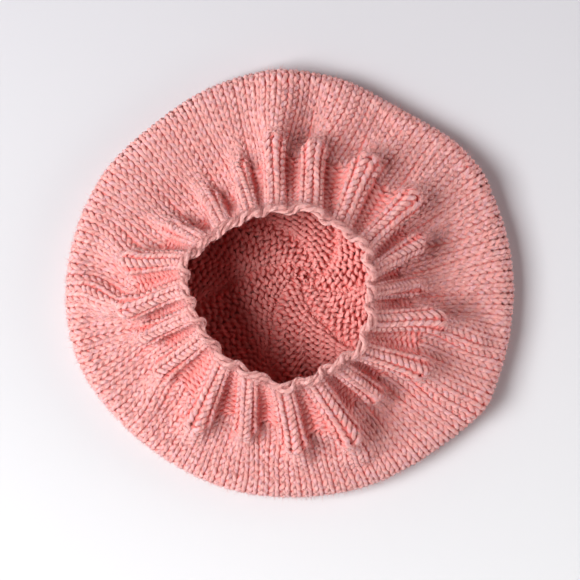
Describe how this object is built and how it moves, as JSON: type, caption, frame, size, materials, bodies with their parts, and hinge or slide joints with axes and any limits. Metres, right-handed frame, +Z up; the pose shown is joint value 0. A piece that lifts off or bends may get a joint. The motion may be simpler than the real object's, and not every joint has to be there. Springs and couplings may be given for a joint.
{
  "type": "knit beret",
  "caption": "Hand-knit wool beret lying upside down: cast-on edge, ribbed band, gathered stockinette body rolled over at the rim, and a flat closed crown.",
  "frame": {"origin": "On the surface that the crown lies on, under the middle of the box", "axes": "+Z up, out of the opening; +X and +Y along the width and depth of the hat as it lies, right and up in the picture"},
  "size_m": [0.253, 0.2412, 0.0602],
  "materials": {
    "marled_wool": "soft matte hand-knit wool, salmon pink marled with pale and greyish plies, slightly fuzzy"
  },
  "bodies": {
    "root": {"cast_on_edge": "marled_wool", "ribbed_band": "marled_wool", "body": "marled_wool", "crown": "marled_wool"}
  },
  "joints": []
}
